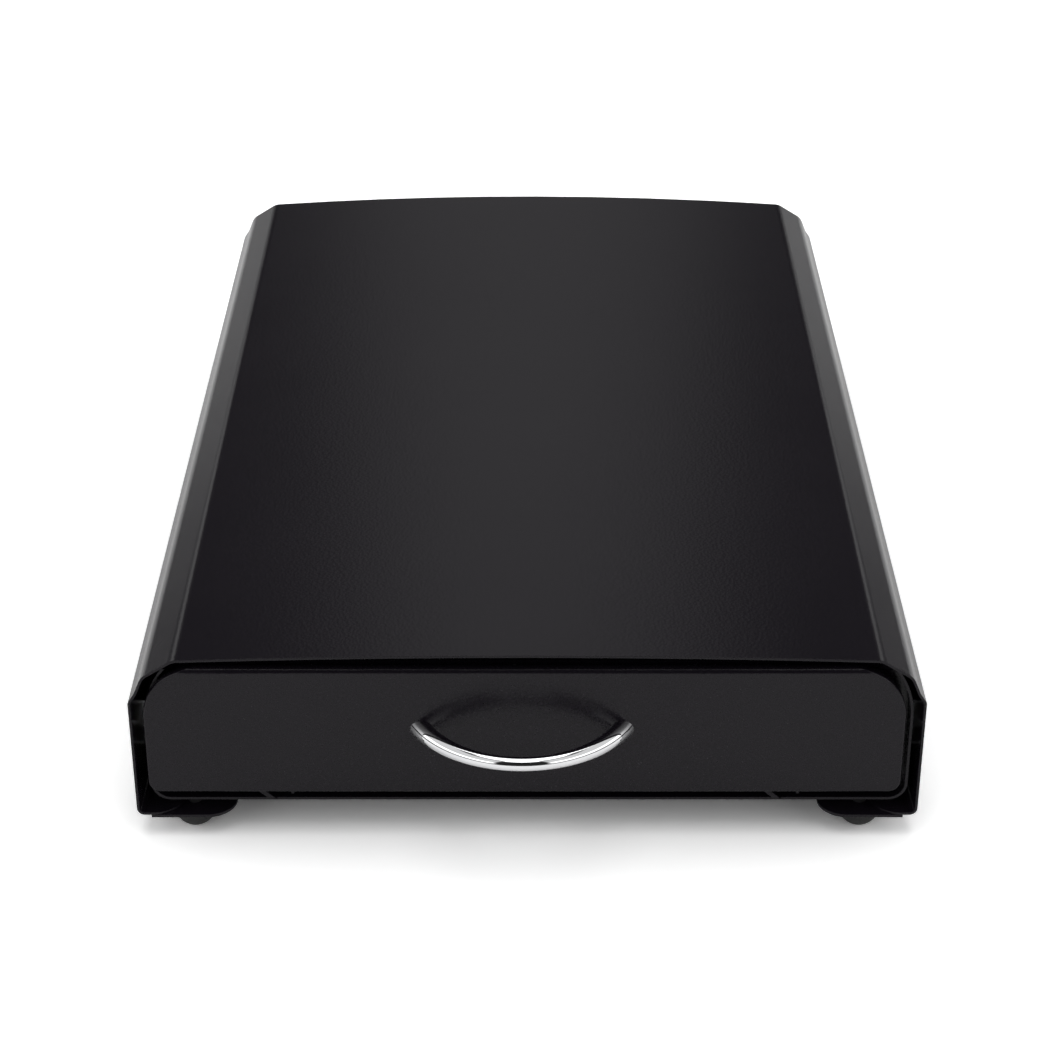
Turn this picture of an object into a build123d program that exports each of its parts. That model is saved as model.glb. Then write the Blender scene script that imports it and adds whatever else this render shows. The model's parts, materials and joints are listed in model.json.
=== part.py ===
"""Coffee pod drawer: a bent sheet casing that a coffee machine stands on, with one roller drawer.

Units are millimetres and +Z is up. While it is modelled, X = 0 is the plane of symmetry, Y = 0 is the
front plane of the casing's side walls, +Y runs to the back, and Z = 0 is the surface that it stands on.
The finished pieces are moved along Y so that the origin is the middle of the footprint.
"""
from build123d import *
import os
from math import asin, cos, degrees, radians, sin, sqrt

# ---------------------------------------------------------------- driving dimensions

# casing cover: one sheet, bent from flange to flange over the top
casing_width = 305.0
casing_depth = 457.0
casing_sheet = 1.0
crown_rise = 3.7            # the top is domed this much between its two creases
edge_bow = 2.3              # the front and rear edges of the top bulge this much in plan
crease_inset = 18.0         # side wall to crease, along X
shoulder_inset = 5.7        # side wall to the bend between the two shoulder slopes
step_inset = 2.6            # side wall to the outward step under the shoulder
crease_height = 81.6
shoulder_drop = 7.7         # crease down to the bend between the two shoulder slopes
step_drop = 15.2            # crease down to the outward step
knee_drop = 19.1            # crease down to where the side wall is upright
crease_radius = 7.0
shoulder_radius = 7.0
step_radius = 1.6
knee_radius = 2.6
flange_bend_radius = 3.0
flange_width = 17.5
flange_corner_radius = 11.0

# casing back
back_inset = 3.0            # behind the casing's rear edge to the panel
back_gap = 0.3              # panel to the cover, where they are not welded
back_tab_width = 10.0
back_tab_height = 36.0

# feet
foot_height = 9.2
foot_radius = 8.5
foot_flat_radius = 2.5
foot_stem_radius = 2.2
foot_button_radius = 2.8
foot_button_height = 1.4
foot_inset_x = 21.5         # side wall to the middle of the foot
foot_inset_y = 11.0         # front plane to the middle of the foot
foot_plate_thickness = 1.2
foot_plate_depth = 22.0
foot_plate_reach = 38.2     # side wall to the plate's round end
foot_plate_edge = 5.5       # side wall to the plate's outer end

# drawer front: a pressed panel in front of a shallow backing pan
face_side_gap = 6.4         # casing side to the panel, on average
face_offset = -1.0          # the panel's middle, right of the casing's middle
face_bottom = 21.2
face_drop = 3.9             # crease down to the panel's top edge
face_depth = 3.4
face_sheet = 1.0
face_top_radius = 22.0
face_bottom_radius = 4.8
face_edge_radius = 0.85
face_brow_height = 2.5      # the panel's top bends back over this height
face_brow_depth = 2.4       # and this depth
clip_tab_pitch = 197.0
clip_tab_shift = 1.8        # middle of the two tabs, right of the panel's middle
clip_tab_width = 2.6
clip_tab_lean = 7.0         # a tab's foot lies this far to the right of its root
clip_tab_lap = 0.4          # a tab's foot reaches this far down over the rim
clip_bump_offset = 6.2      # a tab's foot to the middle of its bump
clip_bump_width = 1.2
clip_bump_drop = 2.2

backing_sheet = 1.2
backing_lip = 6.0           # the rim stands this far in front of the backing plate
backing_side_gap = 5.0      # casing side to the outside of the rim, on average
backing_offset = 0.9        # the rim's middle, right of the casing's middle
backing_bottom = 15.3
backing_bottom_radius = 7.4
backing_top_radius = 36.0
backing_crown = 12.3        # the rim's upper corners aim this far above the panel
backing_cut = 2.0           # the backing plate ends this far under the panel's top

# handle
handle_centres = 76.4       # between the middles of the two ends
handle_projection = 22.9    # panel to the centre line at the middle
handle_middle_radius = 2.7
handle_end_radius = 4.15
handle_offset = -1.0        # the handle's middle, right of the panel's middle
handle_rise = 0.8           # the handle's middle, above the panel's middle
handle_screw_inset = 1.3    # end's middle to the screw's axis
handle_screw_radius = 2.0
handle_screw_depth = 5.0
handle_screw_head_radius = 4.0
handle_screw_head_height = 2.2
handle_spacer_radius = 5.0
screw_hole_clearance = 0.25

# tray
tray_sheet = 0.8
tray_bottom = 17.3
tray_drop = 10.3            # crease down to the tray's top edge
tray_bend_radius = 2.4
bumper_length = 5.8
bumper_gap = 0.3
bumper_radius = 5.0
bumper_spacing = 180.0
bumper_height = 45.3

# pod rack: the pods hang by their rims between neighbouring rails
lane_count = 5
rail_side_space = 4.7       # tray's inner side to the middle of the outermost rail
rail_radius = 2.5
rail_drop = 8.0             # tray's top edge down to the middle of the rails
rail_end_gap = 1.0
cross_bar_radius = 2.5
cross_bar_gap = 3.1         # tray end to the cross bar
weld_depth = 0.15

# roller slides, one on each side
slide_space = 13.5          # tray side to the inside of the side wall
slide_sheet = 1.2
channel_start = 32.0        # front plane to the front end of the casing's channel
channel_end_gap = 1.0       # rear end of the channel to the back panel's tab
channel_bottom = 22.3
channel_width = 11.0
roller_gap = 0.3            # a roller's rim to what it runs on
front_roller_radius = 8.0
front_roller_place = 44.0
rear_roller_radius = 8.6
rear_roller_inset = 17.0    # tray's rear end to the rear roller's axle
roller_width = 8.2
roller_side_gap = 0.4
roller_rim_radius = 0.6
axle_radius = 2.5
axle_clearance = 0.05
axle_head_radius = 4.5
axle_head_thickness = 0.8
runner_lip_gap = 0.4        # runner flange to the channel's upper lip
runner_start = 20.0
runner_drop = 13.0          # height of the runner's upright part
runner_end_gap = 6.0        # rear end of the runner to the rear end of the tray
runner_flange_width = 9.8
open_axle_distance = 54.9   # front axle to rear axle when the drawer is fully open
stop_tab_height = 4.0
stop_tab_thickness = 2.0
stop_gap = 0.3

# ---------------------------------------------------------------- worked out from them

wall_x = casing_width / 2
wall_inner_x = wall_x - casing_sheet
flange_bottom = foot_height + foot_plate_thickness
crease_x = wall_x - crease_inset
crown_top = crease_height + crown_rise
knee_height = crease_height - knee_drop
face_top = crease_height - face_drop
tray_top = crease_height - tray_drop
rail_height = tray_top - rail_drop

face_half_width = wall_x - face_side_gap
face_outline = (face_half_width, face_bottom, face_top, face_bottom_radius, face_top_radius)
backing_top = face_top + backing_crown
backing_outline = (wall_x - backing_side_gap, backing_bottom, backing_top,
                   backing_bottom_radius, backing_top_radius)
backing_front = face_depth + backing_lip
backing_rear = backing_front + backing_sheet
handle_x = face_offset + handle_offset
handle_height = (face_bottom + face_top) / 2 + handle_rise
handle_radius = ((handle_centres / 2) ** 2 + handle_projection ** 2) / (2 * handle_projection)
handle_screw_spread = handle_centres / 2 - handle_screw_inset
handle_screw_places = [handle_x - handle_screw_spread, handle_x + handle_screw_spread]

back_rear = casing_depth - back_inset
back_front = back_rear - casing_sheet
tray_half_width = wall_inner_x - slide_space
tray_inner_half = tray_half_width - tray_sheet
tray_front = backing_rear
tray_rear = back_front - bumper_length - bumper_gap
tray_inner_rear = tray_rear - tray_sheet

lane_pitch = 2 * (tray_inner_half - rail_side_space) / lane_count
rail_start = tray_front + rail_end_gap
rail_end = tray_inner_rear - rail_end_gap
cross_bar_height = rail_height - rail_radius - cross_bar_radius + weld_depth
cross_bar_places = {"front": tray_front + cross_bar_gap + cross_bar_radius,
                    "rear": tray_inner_rear - cross_bar_gap - cross_bar_radius}

channel_web_x = wall_inner_x - slide_sheet
channel_floor = channel_bottom + slide_sheet
channel_end = back_front - back_tab_width - channel_end_gap
front_roller_height = channel_floor + roller_gap + front_roller_radius
rear_roller_height = channel_floor + roller_gap + rear_roller_radius
rear_roller_place = tray_rear - rear_roller_inset
runner_flange_bottom = front_roller_height + front_roller_radius + roller_gap
runner_top = runner_flange_bottom + slide_sheet
channel_lip_bottom = runner_top + runner_lip_gap
runner_web_x = tray_half_width + slide_sheet
runner_end = tray_rear - runner_end_gap
runner_flange_end = rear_roller_place - rear_roller_radius - axle_head_radius
drawer_travel = rear_roller_place - front_roller_place - open_axle_distance
stop_reach = rear_roller_radius - (stop_tab_height - roller_gap)
stop_place = rear_roller_place - drawer_travel - sqrt(rear_roller_radius ** 2 - stop_reach ** 2) - stop_gap

# the whole object reaches from the handle to the bulge of the rear edge
origin_y = (casing_depth + edge_bow - handle_projection - handle_middle_radius) / 2

# ---------------------------------------------------------------- helpers


def along_x(sketch, start, end):
    """Extrude a (Y, Z) sketch from X = start to X = end."""
    return extrude(Plane.YZ.offset(start) * sketch, amount=end - start)


def along_y(sketch, start, end):
    """Extrude an (X, Z) sketch from Y = start to Y = end."""
    return extrude(Plane.XZ.offset(-end) * sketch, amount=end - start)


def along_z(sketch, start, end):
    """Extrude an (X, Y) sketch from Z = start to Z = end."""
    return extrude(Plane.XY.offset(start) * sketch, amount=end - start)


def block(x_range, y_range, z_range):
    """A box between two values on each axis."""
    size = [high - low for low, high in (x_range, y_range, z_range)]
    middle = [(high + low) / 2 for low, high in (x_range, y_range, z_range)]
    return Pos(*middle) * Box(*size)


def rod_x(radius, start, end, y, z):
    """A round bar along X."""
    return along_x(Pos(y, z) * Circle(radius), start, end)


def rod_y(radius, start, end, x, z):
    """A round bar along Y."""
    return along_y(Pos(x, z) * Circle(radius), start, end)


def mirrored(piece):
    """The same piece on the other side of the plane of symmetry."""
    return mirror(piece, about=Plane.YZ)


def panel_outline(half_width, bottom, top, bottom_radius, top_radius):
    """An upright (X, Z) rectangle with its own radius for the lower and the upper corners."""
    outline = Pos(0, (bottom + top) / 2) * Rectangle(2 * half_width, top - bottom)
    outline = fillet(outline.vertices().group_by(Axis.Y)[0], bottom_radius)
    return fillet(outline.vertices().group_by(Axis.Y)[-1], top_radius)


# ---------------------------------------------------------------- casing


def casing_section():
    """Outside of the casing as an (X, Z) face, closed across the bottom."""
    side = [(crease_x, crease_height),
            (wall_x - shoulder_inset, crease_height - shoulder_drop),
            (wall_x - step_inset, crease_height - step_drop),
            (wall_x, knee_height),
            (wall_x, flange_bottom)]
    bends = [shoulder_radius, step_radius, knee_radius, flange_bend_radius]
    points = side + [(-x, z) for x, z in reversed(side)]
    skirt = FilletPolyline(*points, radius=bends + bends[::-1])
    crown = ThreePointArc(points[-1], (0, crown_top), points[0])
    section = make_face([skirt, crown])
    creases = section.vertices().sort_by_distance(points[0])[:1]
    creases += section.vertices().sort_by_distance(points[-1])[:1]
    return fillet(creases, crease_radius)


def casing_plan():
    """The casing seen from above: straight side walls, and a front and rear edge that bulge."""
    outer = wall_x + casing_sheet
    front = ThreePointArc((-crease_x, 0), (0, -edge_bow), (crease_x, 0))
    right = Polyline((crease_x, 0), (outer, 0), (outer, casing_depth), (crease_x, casing_depth))
    rear = ThreePointArc((crease_x, casing_depth), (0, casing_depth + edge_bow), (-crease_x, casing_depth))
    left = Polyline((-crease_x, casing_depth), (-outer, casing_depth), (-outer, 0), (-crease_x, 0))
    return make_face([front, right, rear, left])


def casing_mouth_below():
    """The opening between the two bottom flanges, whose four corners are round."""
    inner_x = wall_x - flange_width
    opening = Pos(0, casing_depth / 2) * Rectangle(2 * inner_x, casing_depth + 2 * edge_bow)
    corner = Pos(inner_x + flange_corner_radius / 2, flange_corner_radius / 2) * Rectangle(
        flange_corner_radius, flange_corner_radius)
    corner -= Pos(inner_x + flange_corner_radius, flange_corner_radius) * Circle(flange_corner_radius)
    for piece in (corner, mirror(corner, about=Plane.XZ.offset(-casing_depth / 2))):
        opening += piece
        opening += mirrored(piece)
    return opening


def make_casing_cover():
    """The bent sheet: crown, two shoulders, two side walls and two bottom flanges."""
    section = casing_section()
    ring = section - offset(section, amount=-casing_sheet)
    cover = along_y(ring, -2 * edge_bow, casing_depth + 2 * edge_bow)
    cover &= along_z(casing_plan(), 0, crown_top + casing_sheet)
    return cover - along_z(casing_mouth_below(), flange_bottom - casing_sheet, flange_bottom + 2 * casing_sheet)


def make_casing_back():
    """Rear panel inside the cover, welded to the side walls by two tabs that are folded forward."""
    outline = offset(casing_section(), amount=-(casing_sheet + back_gap))
    panel = along_y(outline, back_front, back_rear)
    tab_middle = (flange_bottom + knee_height) / 2
    tab_heights = (tab_middle - back_tab_height / 2, tab_middle + back_tab_height / 2)
    for side in (1, -1):
        reach = sorted((side * (wall_inner_x - casing_sheet), side * wall_inner_x))
        panel += block(reach, (back_front - back_tab_width, back_rear), tab_heights)
    return panel


def foot_centre(side, end):
    """Middle of a foot: side is 1 for right and -1 for left, end is "front" or "rear"."""
    y = foot_inset_y if end == "front" else casing_depth - foot_inset_y
    return side * (wall_x - foot_inset_x), y


def make_foot_plate(side, end):
    """Flat plate welded under the flange, round at its inner end, with a hole for the foot's stem."""
    x, y = foot_centre(side, end)
    round_x = wall_x - foot_plate_reach + foot_plate_depth / 2
    outer_x = wall_x - foot_plate_edge
    outline = Pos((round_x + outer_x) / 2, 0) * Rectangle(outer_x - round_x, foot_plate_depth)
    outline += Pos(round_x, 0) * Circle(foot_plate_depth / 2)
    outline -= Pos(side * x, 0) * Circle(foot_stem_radius)
    plate = along_z(Pos(0, y) * outline, foot_height, flange_bottom)
    return plate if side > 0 else mirrored(plate)


def make_rubber_foot(side, end):
    """Domed rubber foot, pushed through the plate, with a small flat where it stands."""
    x, y = foot_centre(side, end)
    dome_centre = sqrt(foot_radius ** 2 - foot_flat_radius ** 2)
    foot = Pos(0, 0, dome_centre) * Sphere(foot_radius)
    foot &= Pos(0, 0, dome_centre / 2) * Box(3 * foot_radius, 3 * foot_radius, dome_centre)
    foot += along_z(Circle(foot_radius), dome_centre, foot_height)
    foot += along_z(Circle(foot_stem_radius), foot_height, flange_bottom)
    foot += along_z(Circle(foot_button_radius), flange_bottom, flange_bottom + foot_button_height)
    return Pos(x, y, 0) * foot


def make_closing_bumper():
    """Rubber button on the back panel, which the tray meets when the drawer is shut."""
    button = rod_y(bumper_radius, back_front - bumper_length, back_front, bumper_spacing / 2, bumper_height)
    return fillet(button.edges().group_by(Axis.Y)[0], bumper_radius / 5)


# ---------------------------------------------------------------- drawer front


def brow_cut(inset):
    """Everything behind the gentle bend along the panel's top edge, as deep as inset inside the sheet."""
    top = face_top - inset
    depth = face_brow_depth - inset
    height = face_brow_height - inset
    profile = Pos(face_brow_depth, top - height) * Ellipse(depth, height)
    profile += Pos((inset + casing_depth) / 2, (top - height) / 2) * Rectangle(casing_depth - inset, top - height)
    profile += Pos((face_brow_depth + casing_depth) / 2, top / 2) * Rectangle(casing_depth - face_brow_depth, top)
    return along_x(profile, -wall_x, wall_x)


def make_drawer_front():
    """Pressed panel: a shallow pan with round edges and two leaning clip tabs under it."""
    body = along_y(panel_outline(*face_outline), 0, face_depth)
    body = fillet(body.faces().sort_by(Axis.Y)[0].edges(), face_edge_radius)
    body &= brow_cut(0)
    half, bottom, top, low_radius, high_radius = face_outline
    hollow = panel_outline(half - face_sheet, bottom + face_sheet, top - face_sheet,
                           low_radius - face_sheet, high_radius - face_sheet)
    body -= along_y(hollow, face_sheet, face_depth) & brow_cut(face_sheet)
    for side in (1, -1):
        body += clip_tab(clip_tab_shift + side * clip_tab_pitch / 2)
    body = Pos(face_offset, 0, 0) * body
    for x in handle_screw_places:
        body -= rod_y(handle_screw_radius + screw_hole_clearance, 0, face_sheet, x, handle_height)
    return body


def clip_tab(x):
    """A leaning tab from the panel's lower edge down to x on the rim, and the small bump beside it."""
    root = face_bottom + face_sheet
    foot = backing_bottom + backing_sheet - clip_tab_lap
    tab = make_face(Polyline((x - clip_tab_lean - clip_tab_width, root), (x - clip_tab_lean, root),
                             (x, foot), (x - clip_tab_width, foot), close=True))
    bump = Pos(x + clip_bump_offset, root - (face_sheet + clip_bump_drop) / 2) * Rectangle(
        clip_bump_width, face_sheet + clip_bump_drop)
    return along_y(tab + bump, face_depth - face_sheet, face_depth)


def make_drawer_backing():
    """Pan behind the panel: the tray's front wall, with a rim that faces forward at its sides and foot."""
    outer = panel_outline(*backing_outline)
    pan = along_y(outer, face_depth, backing_rear)
    pan -= along_y(offset(outer, amount=-backing_sheet), face_depth, backing_front)
    pan -= block((-wall_x, wall_x), (0, casing_depth), (face_top - backing_cut, backing_top))
    pan = Pos(backing_offset, 0, 0) * pan
    for x in handle_screw_places:
        pan -= rod_y(handle_screw_radius + screw_hole_clearance, backing_front, backing_rear, x, handle_height)
    return pan


def make_drawer_handle():
    """Arched round bar, thin at its middle and thicker towards its ends, tapped for two screws."""
    end_angle = degrees(asin(handle_centres / 2 / handle_radius))
    reach = end_angle * 1.15
    centre = Pos(handle_x, handle_radius - handle_projection, handle_height)
    sections = []
    steps = 8
    for step in range(-steps, steps + 1):
        angle = reach * step / steps
        turned = radians(angle)
        thicken = (angle / end_angle) ** 2
        radius = handle_middle_radius + (handle_end_radius - handle_middle_radius) * thicken
        place = Plane(origin=(handle_radius * sin(turned), -handle_radius * cos(turned), 0),
                      x_dir=(0, 0, 1), z_dir=(cos(turned), sin(turned), 0))
        sections.append(centre * (place * Circle(radius)))
    bar = loft(sections)
    size = 2 * handle_centres
    bar &= block((-size, size), (-size, 0), (0, size))
    for x in handle_screw_places:
        bar -= rod_y(handle_screw_radius, -handle_screw_depth, 0, x, handle_height)
    return bar


def make_handle_screws():
    """Two pan-head screws from inside the tray, through both sheets into the handle."""
    screws = []
    for x in handle_screw_places:
        screw = rod_y(handle_screw_radius, -handle_screw_depth, backing_rear, x, handle_height)
        head_end = backing_rear + handle_screw_head_height
        head = rod_y(handle_screw_head_radius, backing_rear, head_end, x, handle_height)
        head = fillet(head.edges().group_by(Axis.Y)[-1], handle_screw_head_height / 3)
        slot = (x - handle_screw_head_radius, x + handle_screw_head_radius)
        head -= block(slot, (head_end - 1.0, head_end), (handle_height - 0.5, handle_height + 0.5))
        screws.append(screw + head)
    return Compound(children=screws)


def make_handle_spacers():
    """Two sleeves that keep the panel from caving in under the handle screws."""
    sleeves = []
    for x in handle_screw_places:
        ring = Circle(handle_spacer_radius) - Circle(handle_screw_radius + screw_hole_clearance)
        sleeves.append(along_y(Pos(x, handle_height) * ring, face_sheet, backing_front))
    return Compound(children=sleeves)


# ---------------------------------------------------------------- tray and pod rack


def make_drawer_tray():
    """Bottom and two sides from one sheet, open at the top."""
    outer = Pos(0, tray_bottom + tray_top / 2) * Rectangle(2 * tray_half_width, tray_top)
    outer = fillet(outer.vertices().group_by(Axis.Y)[0], tray_bend_radius)
    shell = outer - offset(outer, amount=-tray_sheet)
    tray = along_y(shell, tray_front, tray_rear)
    above = (tray_top, 2 * tray_top)
    return tray - block((-wall_x, wall_x), (0, casing_depth), above)


def make_tray_back():
    """Rear wall of the tray, standing between its sides."""
    outer = Pos(0, tray_bottom + tray_top / 2) * Rectangle(2 * tray_half_width, tray_top)
    outer = fillet(outer.vertices().group_by(Axis.Y)[0], tray_bend_radius)
    wall = along_y(offset(outer, amount=-tray_sheet), tray_inner_rear, tray_rear)
    return wall - block((-wall_x, wall_x), (0, casing_depth), (tray_top, 2 * tray_top))


def make_pod_rail(number):
    """One lengthwise rail; number counts from 0 at the left."""
    x = (number - lane_count / 2) * lane_pitch
    return rod_y(rail_radius, rail_start, rail_end, x, rail_height)


def make_cross_bar(end):
    """Round bar between the tray's sides that carries one end of every rail."""
    return rod_x(cross_bar_radius, -tray_inner_half, tray_inner_half, cross_bar_places[end], cross_bar_height)


# ---------------------------------------------------------------- roller slides, right-hand side


def make_casing_channel():
    """Channel on the side wall, open towards the drawer, with the tab that stops the open drawer."""
    inner_x = wall_inner_x - channel_width
    y_range = (channel_start, channel_end)
    lip_top = channel_lip_bottom + slide_sheet
    channel = block((channel_web_x, wall_inner_x), y_range, (channel_bottom, lip_top))
    channel += block((inner_x, channel_web_x), y_range, (channel_bottom, channel_floor))
    channel += block((inner_x, channel_web_x), y_range, (channel_lip_bottom, lip_top))
    channel += block((inner_x, channel_web_x), (stop_place - stop_tab_thickness, stop_place),
                     (channel_floor, channel_floor + stop_tab_height))
    return channel


def make_runner():
    """Angle on the tray's side: its flange runs on the front roller, its end carries the rear roller."""
    web = block((tray_half_width, runner_web_x), (runner_start, runner_end),
                (runner_top - runner_drop, runner_top))
    flange_x = (runner_web_x, runner_web_x + runner_flange_width)
    flange = block(flange_x, (runner_start, runner_flange_end), (runner_flange_bottom, runner_top))
    return web + flange


def make_axle(y, z, base_x, direction):
    """Headed axle that stands on a sheet at base_x and points along X in the given direction."""
    length = roller_width + 2 * roller_side_gap
    shank_end = base_x + direction * length
    head_end = shank_end + direction * axle_head_thickness
    axle = rod_x(axle_radius, *sorted((base_x, shank_end)), y, z)
    axle += rod_x(axle_head_radius, *sorted((shank_end, head_end)), y, z)
    return axle


def make_roller(radius, y, z, base_x, direction):
    """Plastic roller on an axle, with eased rims."""
    start, end = sorted((base_x + direction * roller_side_gap,
                         base_x + direction * (roller_side_gap + roller_width)))
    roller = rod_x(radius, start, end, y, z)
    roller = fillet(roller.edges(), roller_rim_radius)
    return roller - rod_x(axle_radius + axle_clearance, start, end, y, z)


# ---------------------------------------------------------------- every piece, by name

pieces = {
    "casing_cover": make_casing_cover(),
    "casing_back": make_casing_back(),
    "drawer_front": make_drawer_front(),
    "drawer_backing": make_drawer_backing(),
    "drawer_handle": make_drawer_handle(),
    "handle_screws": make_handle_screws(),
    "handle_spacers": make_handle_spacers(),
    "drawer_tray": make_drawer_tray(),
    "tray_back": make_tray_back(),
}

for end_name in ("front", "rear"):
    pieces["rail_cross_bar_" + end_name] = make_cross_bar(end_name)
    for side_name, side_sign in (("left", -1), ("right", 1)):
        corner_name = end_name + "_" + side_name
        pieces["foot_plate_" + corner_name] = make_foot_plate(side_sign, end_name)
        pieces["rubber_foot_" + corner_name] = make_rubber_foot(side_sign, end_name)

for rail_number in range(lane_count + 1):
    pieces[f"pod_rail_{rail_number + 1}"] = make_pod_rail(rail_number)

right_hand = {
    "casing_channel": make_casing_channel(),
    "drawer_runner": make_runner(),
    "closing_bumper": make_closing_bumper(),
    "front_axle": make_axle(front_roller_place, front_roller_height, channel_web_x, -1),
    "front_roller": make_roller(front_roller_radius, front_roller_place, front_roller_height,
                                channel_web_x, -1),
    "rear_axle": make_axle(rear_roller_place, rear_roller_height, runner_web_x, 1),
    "rear_roller": make_roller(rear_roller_radius, rear_roller_place, rear_roller_height,
                               runner_web_x, 1),
}
for piece_name, right_piece in right_hand.items():
    pieces[piece_name + "_right"] = right_piece
    pieces[piece_name + "_left"] = mirrored(right_piece)

os.makedirs("parts", exist_ok=True)
for piece_name, piece in pieces.items():
    export_step(Pos(0, -origin_y, 0) * piece, f"parts/{piece_name}.step")

print("pieces", len(pieces), " origin_y", round(origin_y, 3))
print("rear roller", round(rear_roller_place - origin_y, 3), round(rear_roller_height, 3))
print("front roller", round(front_roller_place - origin_y, 3), round(front_roller_height, 3))
print("travel", round(drawer_travel, 3), " lane pitch", round(lane_pitch, 3))
print("handle height", round(handle_height, 3), " lanes from", round(cross_bar_places["front"] - origin_y, 2),
      "to", round(cross_bar_places["rear"] - origin_y, 2))
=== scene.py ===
"""Looks of the coffee pod drawer: finishes of every piece, its weld marks, a pale studio and the camera."""
import json
from math import radians
import bpy
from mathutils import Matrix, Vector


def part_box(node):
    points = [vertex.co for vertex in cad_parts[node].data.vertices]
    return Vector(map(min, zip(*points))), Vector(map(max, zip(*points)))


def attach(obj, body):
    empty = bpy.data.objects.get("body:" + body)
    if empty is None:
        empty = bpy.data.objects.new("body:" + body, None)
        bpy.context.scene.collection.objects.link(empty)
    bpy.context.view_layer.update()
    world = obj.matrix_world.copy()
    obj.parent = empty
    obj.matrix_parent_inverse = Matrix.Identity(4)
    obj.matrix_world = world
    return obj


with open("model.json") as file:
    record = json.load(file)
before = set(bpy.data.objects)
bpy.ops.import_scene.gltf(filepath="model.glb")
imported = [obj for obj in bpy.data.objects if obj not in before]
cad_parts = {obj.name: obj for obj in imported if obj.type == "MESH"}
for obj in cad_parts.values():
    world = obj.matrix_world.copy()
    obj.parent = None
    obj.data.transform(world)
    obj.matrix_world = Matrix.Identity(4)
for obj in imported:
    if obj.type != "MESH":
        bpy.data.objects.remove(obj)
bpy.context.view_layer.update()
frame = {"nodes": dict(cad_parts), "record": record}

# ---------------------------------------------------------------- sizes, in metres

MM = 0.001

# the camera stands in front of the object and looks down on it
CAMERA_TO_FRONT = 806.4 * MM        # along Y, to the front plane of the casing
CAMERA_HEIGHT = 591.0 * MM
CAMERA_PITCH = 29.2                 # degrees below the horizon
CAMERA_LENS = 86.5                  # millimetres, on a sensor 36 mm wide
CAMERA_SHIFT = -0.0021              # the object stands a little right of the picture's middle

FLOOR_SIZE = 12.0
FLOOR_TONE = 0.9
FLOOR_SEEN = 1.6                    # the floor is overexposed in the picture
REFLECTED_SHARE = 0.3               # and a little so in reflections

# brightness round the object, where 1 is white, by height from the horizon (0) to overhead (1)
OVERHEAD_LAMP = 2.2
FRONT_LAMP = 3.4                    # hangs in front of the object, high above the camera
SIDE_LAMP = 1.8
BACK_LAMP = 1.3
BACK_STRIP = 0.64
HORIZON_GAP = 0.06                  # dark line between the floor and the lamps
BACK_DARK = 0.06
FRONT_DARK = 0.02
CORNER_GAP = 0.1                    # between the side lamps and the one overhead
SIDE_LEVELS = [(0.0, HORIZON_GAP), (0.15, HORIZON_GAP), (0.18, SIDE_LAMP), (0.45, SIDE_LAMP), (0.55, 0.75),
               (0.90, 0.75), (0.925, CORNER_GAP), (0.945, CORNER_GAP), (0.96, OVERHEAD_LAMP)]
FRONT_LEVELS = [(0.0, HORIZON_GAP), (0.04, FRONT_DARK), (0.875, FRONT_DARK), (0.905, FRONT_LAMP),
                (0.96, OVERHEAD_LAMP)]
BACK_LEVELS = [(0.0, 1.0), (0.05, BACK_DARK), (0.82, BACK_DARK), (0.90, OVERHEAD_LAMP)]
BACK_LAMP_LEVELS = [(0.0, 1.0), (0.05, 0.5), (0.24, 0.6), (0.32, BACK_LAMP), (0.52, BACK_LAMP),
                    (0.60, BACK_DARK), (0.82, BACK_DARK), (0.90, OVERHEAD_LAMP)]
BACK_STRIP_LEVELS = [(0.0, 0.6), (0.1, 0.12), (0.38, 0.30), (0.52, BACK_STRIP), (0.82, BACK_STRIP),
                     (0.90, OVERHEAD_LAMP)]
# each wedge by the cosine of the angle from straight ahead, at its edge and inside it
WEDGES = [((0.89, 0.935), FRONT_LEVELS), ((-0.62, -0.84), BACK_LEVELS), ((-0.86, -0.90), BACK_LAMP_LEVELS),
          ((-0.92, -0.95), BACK_LEVELS), ((-0.988, -0.9995), BACK_STRIP_LEVELS)]

# fine texture of the powder coat, and of the softer finishes
COAT_PEEL = 1.25 * MM
COAT_SPECKLE = 0.45 * MM
WIRE_PEEL = 1.1 * MM
EDGE_ROUNDING = 0.4 * MM            # the coat softens the sheets' edges
RUBBER_PORE = 0.35 * MM
SPANGLE = 3.0 * MM

WELD_SPOT_RADIUS = 2.6 * MM
WELD_SPOT_RISE = 0.16 * MM
WELD_BEAD = (2.9 * MM, 2.3 * MM, 1.25 * MM)
TRAY_SHEET = 0.8 * MM
TRAY_SPOTS = 7                      # in a row along each runner
TRAY_SPOT_START = 12 * MM           # from the runner's front end
TRAY_SPOT_ENDS = 36 * MM            # the part of the runner without spots, at both ends together
TRAY_SPOT_DROP = 6.5 * MM           # below the runner's top
PLATE_SPOT_PITCH = 10 * MM
PLATE_SPOT_INSET = 4.5 * MM         # from the foot plate's outer edge

front_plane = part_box("foot_plate_front_left")[0][1]

# ---------------------------------------------------------------- node helpers


def place_node(tree, kind, **values):
    """Adds a node to a tree and sets its properties; inputs are given by name in the dictionary inputs."""
    node = tree.nodes.new(kind)
    inputs = values.pop("inputs", {})
    for name, value in values.items():
        setattr(node, name, value)
    for name, value in inputs.items():
        node.inputs[name].default_value = value
    return node


def group_tree(name, inputs, outputs):
    """A new shader node group with float, colour or vector sockets; returns the tree and its two ends."""
    tree = bpy.data.node_groups.new(name, "ShaderNodeTree")
    for socket_name, socket_type, value in inputs:
        socket = tree.interface.new_socket(socket_name, in_out="INPUT", socket_type=socket_type)
        socket.default_value = value
    for socket_name, socket_type in outputs:
        tree.interface.new_socket(socket_name, in_out="OUTPUT", socket_type=socket_type)
    return tree, tree.nodes.new("NodeGroupInput"), tree.nodes.new("NodeGroupOutput")


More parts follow.
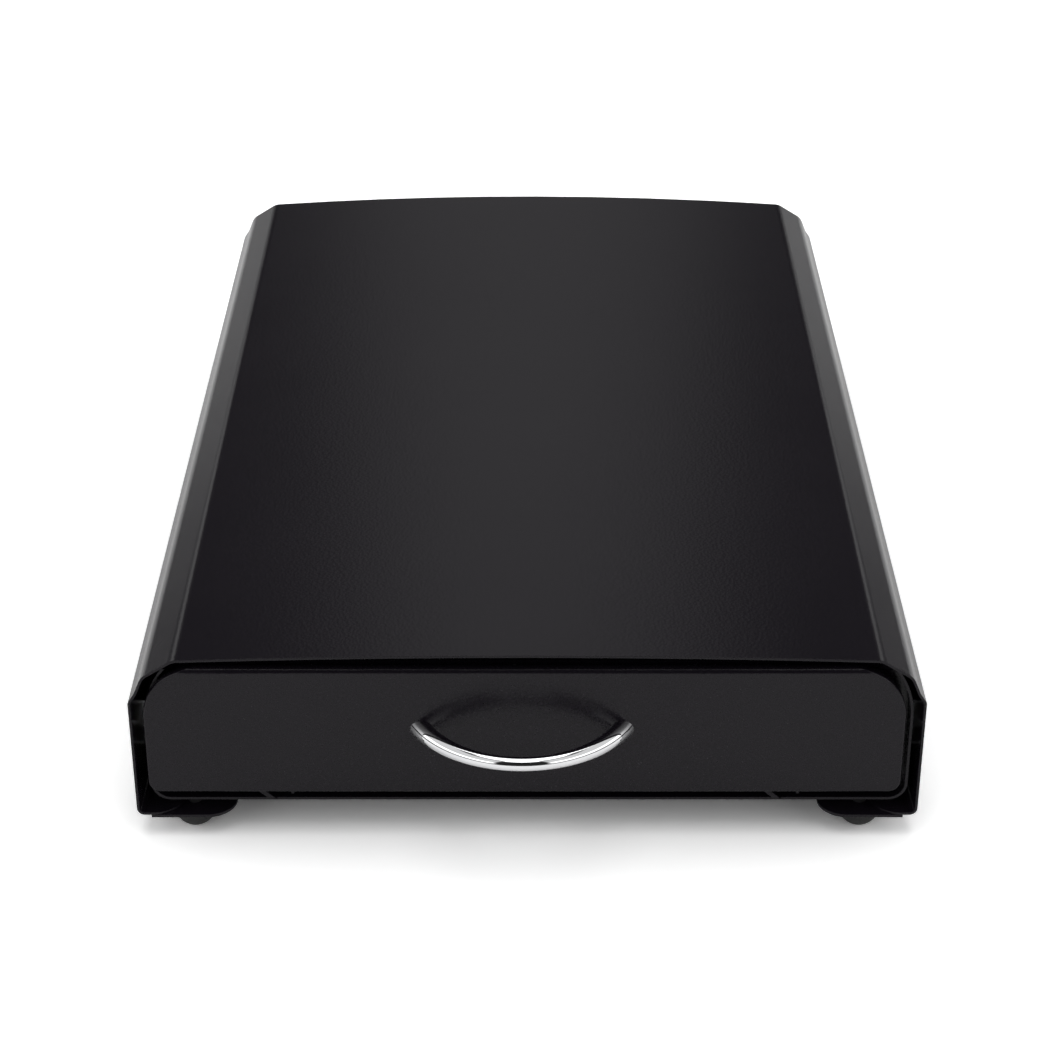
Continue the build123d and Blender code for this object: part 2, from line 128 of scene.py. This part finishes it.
def math_node(tree, operation, first, second=None):
    """A Math node whose inputs are sockets or numbers; returns its output."""
    node = place_node(tree, "ShaderNodeMath", operation=operation)
    for index, value in enumerate((first, second)):
        if value is None:
            continue
        if isinstance(value, (int, float)):
            node.inputs[index].default_value = value
        else:
            tree.links.new(value, node.inputs[index])
    return node.outputs[0]


def scaled_object_position(tree, size):
    """Object coordinates divided by a size socket or number, so that a texture's scale is a length."""
    position = place_node(tree, "ShaderNodeTexCoord").outputs["Object"]
    divide = place_node(tree, "ShaderNodeVectorMath", operation="SCALE")
    tree.links.new(position, divide.inputs[0])
    tree.links.new(math_node(tree, "DIVIDE", 1.0, size), divide.inputs["Scale"])
    return divide.outputs["Vector"]


# ---------------------------------------------------------------- shared effects


def build_grain_group():
    """Orange peel with a fine speckle on it: a height for Bump and a mask of its low places."""
    tree, source, result = group_tree(
        "coat_grain",
        [("Peel Size", "NodeSocketFloat", COAT_PEEL), ("Speckle Size", "NodeSocketFloat", COAT_SPECKLE),
         ("Speckle Share", "NodeSocketFloat", 0.35)],
        [("Height", "NodeSocketFloat"), ("Hollows", "NodeSocketFloat")])
    peel = place_node(tree, "ShaderNodeTexVoronoi", feature="SMOOTH_F1",
                      inputs={"Scale": 1.0, "Smoothness": 0.6, "Randomness": 1.0})
    tree.links.new(scaled_object_position(tree, source.outputs["Peel Size"]), peel.inputs["Vector"])
    speckle = place_node(tree, "ShaderNodeTexNoise", inputs={"Scale": 1.0, "Detail": 2.0, "Roughness": 0.6})
    tree.links.new(scaled_object_position(tree, source.outputs["Speckle Size"]), speckle.inputs["Vector"])
    fine = math_node(tree, "MULTIPLY", speckle.outputs["Fac"], source.outputs["Speckle Share"])
    tree.links.new(math_node(tree, "ADD", peel.outputs["Distance"], fine), result.inputs["Height"])
    hollows = place_node(tree, "ShaderNodeMapRange",
                         inputs={"From Min": 0.55, "From Max": 0.1, "To Min": 0.0, "To Max": 1.0})
    tree.links.new(peel.outputs["Distance"], hollows.inputs["Value"])
    tree.links.new(hollows.outputs["Result"], result.inputs["Hollows"])
    return tree


def build_cloud_group():
    """Broad uneven patches, as handling and dust leave them: a mask from 0 to 1."""
    tree, source, result = group_tree(
        "handling_clouds",
        [("Patch Size", "NodeSocketFloat", 60 * MM), ("Contrast", "NodeSocketFloat", 1.0)],
        [("Mask", "NodeSocketFloat")])
    cloud = place_node(tree, "ShaderNodeTexNoise", inputs={"Scale": 1.0, "Detail": 4.0, "Roughness": 0.55})
    tree.links.new(scaled_object_position(tree, source.outputs["Patch Size"]), cloud.inputs["Vector"])
    centred = math_node(tree, "SUBTRACT", cloud.outputs["Fac"], 0.5)
    spread = math_node(tree, "MULTIPLY", centred, source.outputs["Contrast"])
    place = place_node(tree, "ShaderNodeClamp")
    tree.links.new(math_node(tree, "ADD", spread, 0.5), place.inputs["Value"])
    tree.links.new(place.outputs["Result"], result.inputs["Mask"])
    return tree


grain_group = build_grain_group()
cloud_group = build_cloud_group()


def place_group(tree, group, **inputs):
    """Places a shared effect in a material with that material's own values."""
    node = place_node(tree, "ShaderNodeGroup", node_tree=group)
    for name, value in inputs.items():
        node.inputs[name.replace("_", " ")].default_value = value
    return node


def blend_colours(tree, mask, low, high):
    """A colour between two, led by a mask."""
    mix = place_node(tree, "ShaderNodeMix", data_type="RGBA")
    mix.inputs[6].default_value = (*low, 1.0)
    mix.inputs[7].default_value = (*high, 1.0)
    tree.links.new(mask, mix.inputs[0])
    return mix.outputs[2]


def spread_value(tree, mask, low, high):
    """A number between two, led by a mask."""
    spread = place_node(tree, "ShaderNodeMapRange", inputs={"To Min": low, "To Max": high})
    tree.links.new(mask, spread.inputs["Value"])
    return spread.outputs["Result"]


def add_bump(tree, shader, height, strength, depth, edge_radius=0.0):
    """Joins a height to the shader's normal, over edges that look rounded by a radius."""
    bump = place_node(tree, "ShaderNodeBump", inputs={"Strength": strength, "Distance": depth})
    tree.links.new(height, bump.inputs["Height"])
    if edge_radius:
        soft_edge = place_node(tree, "ShaderNodeBevel", samples=6, inputs={"Radius": edge_radius})
        tree.links.new(soft_edge.outputs["Normal"], bump.inputs["Normal"])
    tree.links.new(bump.outputs["Normal"], shader.inputs["Normal"])


def new_finish(name, **sockets):
    """A material with a Principled shader whose constant sockets are set."""
    material = bpy.data.materials.new(name)
    material.use_nodes = True
    shader = material.node_tree.nodes["Principled BSDF"]
    for socket, value in sockets.items():
        shader.inputs[socket.replace("_", " ")].default_value = value
    return material, material.node_tree, shader


# ---------------------------------------------------------------- finishes


def make_powder_coat():
    """Satin black powder coat: near-black with a faint violet cast, and a fine orange peel."""
    material, tree, shader = new_finish("satin_black_powder_coat", Specular_IOR_Level=0.22)
    grain = place_group(tree, grain_group, Peel_Size=COAT_PEEL, Speckle_Size=COAT_SPECKLE, Speckle_Share=0.35)
    clouds = place_group(tree, cloud_group, Patch_Size=70 * MM, Contrast=1.4)
    tone = math_node(tree, "MULTIPLY", grain.outputs["Hollows"], clouds.outputs["Mask"])
    colour = blend_colours(tree, tone, (0.0062, 0.0048, 0.0075), (0.0108, 0.0084, 0.0126))
    tree.links.new(colour, shader.inputs["Base Color"])
    tree.links.new(spread_value(tree, clouds.outputs["Mask"], 0.20, 0.25), shader.inputs["Roughness"])
    add_bump(tree, shader, grain.outputs["Height"], 0.34, 0.085 * MM, EDGE_ROUNDING)
    return material


def make_wire_coat():
    """Smoother black coat of the rack's wires."""
    material, tree, shader = new_finish("black_wire_coat", Specular_IOR_Level=0.4)
    grain = place_group(tree, grain_group, Peel_Size=WIRE_PEEL, Speckle_Size=COAT_SPECKLE, Speckle_Share=0.2)
    clouds = place_group(tree, cloud_group, Patch_Size=25 * MM, Contrast=1.2)
    colour = blend_colours(tree, grain.outputs["Hollows"], (0.009, 0.009, 0.010), (0.015, 0.015, 0.016))
    tree.links.new(colour, shader.inputs["Base Color"])
    tree.links.new(spread_value(tree, clouds.outputs["Mask"], 0.26, 0.36), shader.inputs["Roughness"])
    add_bump(tree, shader, grain.outputs["Height"], 0.2, 0.06 * MM)
    return material


def make_chrome():
    """Polished chrome with the faint haze of handling."""
    material, tree, shader = new_finish("polished_chrome")
    clouds = place_group(tree, cloud_group, Patch_Size=14 * MM, Contrast=1.6)
    colour = blend_colours(tree, clouds.outputs["Mask"], (0.78, 0.785, 0.80), (0.83, 0.83, 0.84))
    tree.links.new(colour, shader.inputs["Base Color"])
    tree.links.new(spread_value(tree, clouds.outputs["Mask"], 0.02, 0.045), shader.inputs["Roughness"])
    shader.inputs["Metallic"].default_value = 1.0
    return material


def make_zinc():
    """Zinc-plated slide steel: soft spangle, a little uneven."""
    material, tree, shader = new_finish("zinc_plated_steel")
    spangle = place_node(tree, "ShaderNodeTexVoronoi", inputs={"Scale": 1.0})
    tree.links.new(scaled_object_position(tree, SPANGLE), spangle.inputs["Vector"])
    clouds = place_group(tree, cloud_group, Patch_Size=30 * MM, Contrast=1.3)
    tone = math_node(tree, "MULTIPLY", spangle.outputs["Distance"], clouds.outputs["Mask"])
    colour = blend_colours(tree, tone, (0.46, 0.47, 0.49), (0.60, 0.61, 0.62))
    tree.links.new(colour, shader.inputs["Base Color"])
    tree.links.new(spread_value(tree, clouds.outputs["Mask"], 0.28, 0.42), shader.inputs["Roughness"])
    shader.inputs["Metallic"].default_value = 1.0
    add_bump(tree, shader, spangle.outputs["Distance"], 0.12, 0.04 * MM)
    return material


def make_turned_steel():
    """Bright turned steel of axles, screws and sleeves."""
    material, tree, shader = new_finish("turned_steel")
    turning = place_node(tree, "ShaderNodeTexNoise", inputs={"Scale": 1.0, "Detail": 3.0})
    tree.links.new(scaled_object_position(tree, 0.3 * MM), turning.inputs["Vector"])
    tree.links.new(blend_colours(tree, turning.outputs["Fac"], (0.55, 0.55, 0.56), (0.68, 0.68, 0.68)),
                   shader.inputs["Base Color"])
    tree.links.new(spread_value(tree, turning.outputs["Fac"], 0.2, 0.34), shader.inputs["Roughness"])
    shader.inputs["Metallic"].default_value = 1.0
    add_bump(tree, shader, turning.outputs["Fac"], 0.1, 0.02 * MM)
    return material


def make_rubber():
    """Black rubber of the feet and bumpers."""
    material, tree, shader = new_finish("black_rubber", Specular_IOR_Level=0.35)
    grain = place_group(tree, grain_group, Peel_Size=0.9 * MM, Speckle_Size=RUBBER_PORE, Speckle_Share=0.8)
    clouds = place_group(tree, cloud_group, Patch_Size=9 * MM, Contrast=1.5)
    colour = blend_colours(tree, clouds.outputs["Mask"], (0.008, 0.008, 0.008), (0.017, 0.017, 0.017))
    tree.links.new(colour, shader.inputs["Base Color"])
    tree.links.new(spread_value(tree, grain.outputs["Hollows"], 0.50, 0.68), shader.inputs["Roughness"])
    add_bump(tree, shader, grain.outputs["Height"], 0.3, 0.05 * MM)
    return material


def make_nylon():
    """Natural white nylon of the rollers."""
    material, tree, shader = new_finish("white_nylon", Specular_IOR_Level=0.45, Subsurface_Weight=0.1)
    shader.inputs["Subsurface Radius"].default_value = (1.0 * MM, 0.9 * MM, 0.8 * MM)
    clouds = place_group(tree, cloud_group, Patch_Size=5 * MM, Contrast=1.4)
    colour = blend_colours(tree, clouds.outputs["Mask"], (0.66, 0.65, 0.61), (0.76, 0.75, 0.71))
    tree.links.new(colour, shader.inputs["Base Color"])
    tree.links.new(spread_value(tree, clouds.outputs["Mask"], 0.34, 0.48), shader.inputs["Roughness"])
    grain = place_group(tree, grain_group, Peel_Size=0.8 * MM, Speckle_Size=0.2 * MM, Speckle_Share=0.5)
    add_bump(tree, shader, grain.outputs["Height"], 0.1, 0.02 * MM)
    return material


finishes = {
    "black_powder_coat": make_powder_coat(),
    "black_wire": make_wire_coat(),
    "chrome_plate": make_chrome(),
    "zinc_plated_steel": make_zinc(),
    "bright_steel": make_turned_steel(),
    "black_rubber": make_rubber(),
    "white_nylon": make_nylon(),
}

for part in frame["record"]["subparts"]:
    finish = finishes[part["material_slot"]]
    node_object = frame["nodes"][part["node"]]
    if not node_object.material_slots:
        node_object.data.materials.append(None)
    for material_slot in node_object.material_slots:
        material_slot.link = "OBJECT"
        material_slot.material = finish

# ---------------------------------------------------------------- weld marks, by geometry nodes


def build_weld_tree():
    """A line of points, mirrored across X or Y where asked, with a slightly uneven lens on each."""
    tree = bpy.data.node_groups.new("weld_row", "GeometryNodeTree")
    sockets = [("Start", "NodeSocketVector"), ("Step", "NodeSocketVector"), ("Count", "NodeSocketInt"),
               ("Size", "NodeSocketVector"), ("Mirror X", "NodeSocketBool"), ("Mirror Y", "NodeSocketBool"),
               ("Middle Y", "NodeSocketFloat"), ("Unevenness", "NodeSocketFloat"), ("Seed", "NodeSocketInt"),
               ("Finish", "NodeSocketMaterial")]
    for name, kind in sockets:
        tree.interface.new_socket(name, in_out="INPUT", socket_type=kind)
    tree.interface.new_socket("Geometry", in_out="OUTPUT", socket_type="NodeSocketGeometry")
    source = tree.nodes.new("NodeGroupInput").outputs
    result = tree.nodes.new("NodeGroupOutput")
    link = tree.links.new

    line = place_node(tree, "GeometryNodeMeshLine", mode="OFFSET")
    link(source["Count"], line.inputs["Count"])
    link(source["Start"], line.inputs["Start Location"])
    link(source["Step"], line.inputs["Offset"])
    points = line.outputs["Mesh"]

    across = place_node(tree, "GeometryNodeTransform", inputs={"Scale": (-1.0, 1.0, 1.0)})
    along = place_node(tree, "GeometryNodeTransform", inputs={"Scale": (1.0, -1.0, 1.0)})
    shift = place_node(tree, "ShaderNodeCombineXYZ")
    link(math_node(tree, "MULTIPLY", source["Middle Y"], 2.0), shift.inputs["Y"])
    link(shift.outputs["Vector"], along.inputs["Translation"])
    for mirror_node, wanted in ((across, source["Mirror X"]), (along, source["Mirror Y"])):
        link(points, mirror_node.inputs["Geometry"])
        joined = place_node(tree, "GeometryNodeJoinGeometry")
        link(points, joined.inputs["Geometry"])
        link(mirror_node.outputs["Geometry"], joined.inputs["Geometry"])
        choice = place_node(tree, "GeometryNodeSwitch", input_type="GEOMETRY")
        link(wanted, choice.inputs["Switch"])
        link(points, choice.inputs["False"])
        link(joined.outputs["Geometry"], choice.inputs["True"])
        points = choice.outputs["Output"]

    lens = place_node(tree, "GeometryNodeMeshIcoSphere", inputs={"Radius": 1.0, "Subdivisions": 4})
    sized = place_node(tree, "GeometryNodeTransform")
    link(lens.outputs["Mesh"], sized.inputs["Geometry"])
    link(source["Size"], sized.inputs["Scale"])
    copies = place_node(tree, "GeometryNodeInstanceOnPoints")
    link(points, copies.inputs["Points"])
    link(sized.outputs["Geometry"], copies.inputs["Instance"])
    spread = place_node(tree, "FunctionNodeRandomValue", data_type="FLOAT")
    link(math_node(tree, "SUBTRACT", 1.0, source["Unevenness"]), spread.inputs[2])
    link(math_node(tree, "ADD", 1.0, source["Unevenness"]), spread.inputs[3])
    link(source["Seed"], spread.inputs["Seed"])
    link(spread.outputs[1], copies.inputs["Scale"])

    real = place_node(tree, "GeometryNodeRealizeInstances")
    link(copies.outputs["Instances"], real.inputs["Geometry"])
    smooth = place_node(tree, "GeometryNodeSetShadeSmooth")
    link(real.outputs["Geometry"], smooth.inputs["Geometry"])
    painted = place_node(tree, "GeometryNodeSetMaterial")
    link(smooth.outputs["Geometry"], painted.inputs["Geometry"])
    link(source["Finish"], painted.inputs["Material"])
    link(painted.outputs["Geometry"], result.inputs["Geometry"])
    return tree


weld_tree = build_weld_tree()


def make_welds(name, body, slot, **settings):
    """Runs the weld tree with these settings and keeps its result as a plain mesh on a body."""
    carrier = bpy.data.objects.new(name, bpy.data.meshes.new(name + "_carrier"))
    bpy.context.scene.collection.objects.link(carrier)
    modifier = carrier.modifiers.new("welds", "NODES")
    modifier.node_group = weld_tree
    settings["Finish"] = finishes[slot]
    for item in weld_tree.interface.items_tree:
        if item.in_out == "INPUT" and item.name.replace(" ", "_") in settings:
            modifier[item.identifier] = settings[item.name.replace(" ", "_")]
    bpy.context.view_layer.update()
    evaluated = carrier.evaluated_get(bpy.context.evaluated_depsgraph_get())
    mesh = bpy.data.meshes.new_from_object(evaluated)
    carrier.modifiers.remove(modifier)
    carrier.data = mesh
    mesh.name = name
    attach(carrier, body)
    return carrier


first_rail_low, first_rail_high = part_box("pod_rail_1")
last_rail_low, last_rail_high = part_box("pod_rail_6")
front_bar_low, front_bar_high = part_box("rail_cross_bar_front")
rear_bar_low, rear_bar_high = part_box("rail_cross_bar_rear")
tray_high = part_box("drawer_tray")[1]
runner_low, runner_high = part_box("drawer_runner_right")
plate_low, plate_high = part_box("foot_plate_front_right")
rear_plate_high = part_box("foot_plate_rear_right")[1]

rail_x = (first_rail_low[0] + first_rail_high[0]) / 2
rail_pitch = ((last_rail_low[0] + last_rail_high[0]) / 2 - rail_x) / 5
bar_y = (front_bar_low[1] + front_bar_high[1]) / 2
rear_bar_y = (rear_bar_low[1] + rear_bar_high[1]) / 2
make_welds("rack_weld_beads", "drawer", "black_wire",
           Start=(rail_x, bar_y, front_bar_high[2]), Step=(rail_pitch, 0.0, 0.0), Count=6, Size=WELD_BEAD,
           Mirror_X=False, Mirror_Y=True, Middle_Y=(bar_y + rear_bar_y) / 2, Unevenness=0.09, Seed=4)

spot_start = runner_low[1] + TRAY_SPOT_START
spot_step = (runner_high[1] - runner_low[1] - TRAY_SPOT_ENDS) / (TRAY_SPOTS - 1)
make_welds("tray_weld_spots", "drawer", "black_powder_coat",
           Start=(tray_high[0] - TRAY_SHEET, spot_start, runner_high[2] - TRAY_SPOT_DROP),
           Step=(0.0, spot_step, 0.0), Count=TRAY_SPOTS,
           Size=(WELD_SPOT_RISE, WELD_SPOT_RADIUS, WELD_SPOT_RADIUS),
           Mirror_X=True, Mirror_Y=False, Middle_Y=0.0, Unevenness=0.08, Seed=9)

plate_middle_y = (plate_low[1] + plate_high[1]) / 2
make_welds("foot_plate_weld_spots", "casing", "black_powder_coat",
           Start=(plate_high[0] - PLATE_SPOT_INSET, plate_middle_y - PLATE_SPOT_PITCH / 2, plate_low[2]),
           Step=(0.0, PLATE_SPOT_PITCH, 0.0), Count=2,
           Size=(WELD_SPOT_RADIUS, WELD_SPOT_RADIUS, WELD_SPOT_RISE),
           Mirror_X=True, Mirror_Y=True, Middle_Y=(plate_low[1] + rear_plate_high[1]) / 2,
           Unevenness=0.08, Seed=2)

# ---------------------------------------------------------------- studio


def make_floor():
    """Wide pale floor, flat under the object."""
    half = FLOOR_SIZE / 2
    corners = [(-half, -half, 0.0), (half, -half, 0.0), (half, half, 0.0), (-half, half, 0.0)]
    mesh = bpy.data.meshes.new("studio_floor")
    mesh.from_pydata(corners, [], [(0, 1, 2, 3)])
    floor = bpy.data.objects.new("studio_floor", mesh)
    bpy.context.scene.collection.objects.link(floor)
    material, tree, shader = new_finish("pale_floor", Specular_IOR_Level=0.0, Roughness=0.9)
    path = place_node(tree, "ShaderNodeLightPath").outputs
    reflected = math_node(tree, "MULTIPLY", path["Is Glossy Ray"], REFLECTED_SHARE)
    seen = math_node(tree, "MAXIMUM", path["Is Camera Ray"], reflected)
    colour = blend_colours(tree, seen, (FLOOR_TONE,) * 3, (FLOOR_SEEN,) * 3)
    tree.links.new(colour, shader.inputs["Base Color"])
    floor.data.materials.append(material)


def height_ramp(tree, height, levels):
    """The studio's brightness by height, from the horizon up, as a share of the brightest lamp's."""
    ramp = place_node(tree, "ShaderNodeValToRGB")
    stops = ramp.color_ramp.elements
    while len(stops) < len(levels):
        stops.new(0.5)
    for stop, (place, level) in zip(stops, levels):
        stop.position = place
        stop.color = (level / FRONT_LAMP,) * 3 + (1.0,)
    tree.links.new(height, ramp.inputs["Fac"])
    return ramp.outputs["Color"]


def make_studio_light():
    """Lamps overhead and at the sides, a dark wedge in front, and one behind that holds lamps and a strip."""
    world = bpy.data.worlds.new("studio_light")
    world.use_nodes = True
    bpy.context.scene.world = world
    tree = world.node_tree
    background = tree.nodes["Background"]
    direction = place_node(tree, "ShaderNodeTexCoord").outputs["Generated"]
    split = place_node(tree, "ShaderNodeSeparateXYZ")
    tree.links.new(direction, split.inputs["Vector"])
    x, y, z = split.outputs
    across = math_node(tree, "ADD", math_node(tree, "MULTIPLY", x, x), math_node(tree, "MULTIPLY", y, y))
    toward_front = math_node(tree, "DIVIDE", math_node(tree, "MULTIPLY", y, -1.0),
                             math_node(tree, "SQRT", math_node(tree, "ADD", across, 1e-6)))
    colour = height_ramp(tree, z, SIDE_LEVELS)
    for (edge, inside), levels in WEDGES:
        share = place_node(tree, "ShaderNodeMapRange", interpolation_type="SMOOTHSTEP",
                           inputs={"From Min": edge, "From Max": inside})
        tree.links.new(toward_front, share.inputs["Value"])
        mix = place_node(tree, "ShaderNodeMix", data_type="RGBA")
        tree.links.new(share.outputs["Result"], mix.inputs[0])
        tree.links.new(colour, mix.inputs[6])
        tree.links.new(height_ramp(tree, z, levels), mix.inputs[7])
        colour = mix.outputs[2]
    tree.links.new(colour, background.inputs["Color"])
    background.inputs["Strength"].default_value = FRONT_LAMP


def make_camera():
    """Camera at the photograph's place and angle."""
    data = bpy.data.cameras.new("camera")
    data.lens = CAMERA_LENS
    data.sensor_width = 36.0
    data.shift_x = CAMERA_SHIFT
    camera = bpy.data.objects.new("camera", data)
    camera.location = (0.0, front_plane - CAMERA_TO_FRONT, CAMERA_HEIGHT)
    camera.rotation_euler = (radians(90.0 - CAMERA_PITCH), 0.0, 0.0)
    bpy.context.scene.collection.objects.link(camera)
    bpy.context.scene.camera = camera


make_floor()
make_studio_light()
make_camera()
bpy.context.scene.view_settings.view_transform = "Standard"
